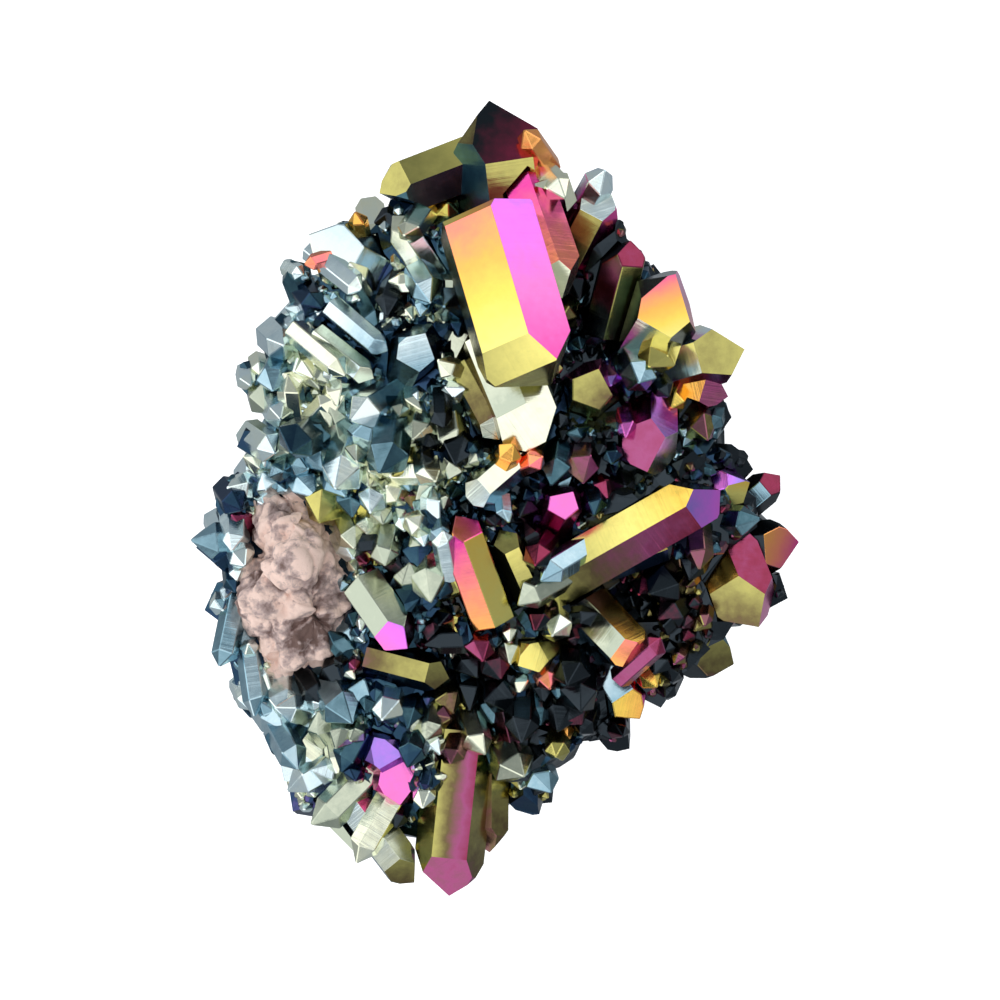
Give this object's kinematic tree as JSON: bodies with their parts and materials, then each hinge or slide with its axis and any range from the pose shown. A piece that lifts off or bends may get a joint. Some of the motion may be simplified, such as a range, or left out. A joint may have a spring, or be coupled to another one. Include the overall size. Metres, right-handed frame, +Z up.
{
  "type": "quartz cluster",
  "caption": "Natural quartz cluster with a metallic rainbow film: short and long six-sided points on a crystal bed with a patch of bare rock, lying on its flat underside.",
  "frame": {"origin": "middle of the bounding box, on the flat underside that the cluster lies on", "axes": "+Z up, away from the surface it lies on; +Y along the longest extent, towards the crown crystals; +X to the right when it is seen from above with the crown away from the viewer"},
  "size_m": [0.0386, 0.0502, 0.0178],
  "materials": {
    "gold_film": "gloss",
    "magenta_film": "gloss",
    "steel_film": "gloss",
    "cream_film": "gloss",
    "navy_film": "gloss",
    "bare_rock": "matte"
  },
  "bodies": {
    "root": {"crystal_bed": "navy_film", "host_rock": "bare_rock", "main_crystals": "gold_film", "crown_crystals": "magenta_film", "white_crystal": "cream_film", "brown_crystal": "gold_film", "kite_crystals": "gold_film", "olive_crystal": "gold_film", "red_violet_crystal": "magenta_film", "long_crystals": "gold_film", "right_gold_crystal": "gold_film", "far_right_upper_crystal": "magenta_film", "far_right_lower_crystal": "magenta_film", "right_low_crystal": "gold_film", "slate_crystal": "steel_film", "lower_gold_crystal": "gold_film", "lower_orange_crystal": "gold_film", "hot_pink_crystal": "magenta_film", "cream_crystal": "cream_film", "coral_crystal": "gold_film", "slim_olive_crystal": "gold_film", "sage_crystal": "steel_film", "ridge_crystal": "steel_film", "yellow_crystal": "gold_film", "violet_pink_crystals": "magenta_film", "bottom_crystals": "magenta_film", "lower_left_cream_crystal": "cream_film", "lower_left_sage_crystal": "steel_film", "lower_left_white_crystal": "cream_film", "upper_left_crystal": "cream_film", "slim_blue_crystal": "steel_film", "diagonal_blue_crystal": "steel_film", "diagonal_cream_crystal": "cream_film", "steel_crystal": "steel_film"}
  },
  "joints": []
}
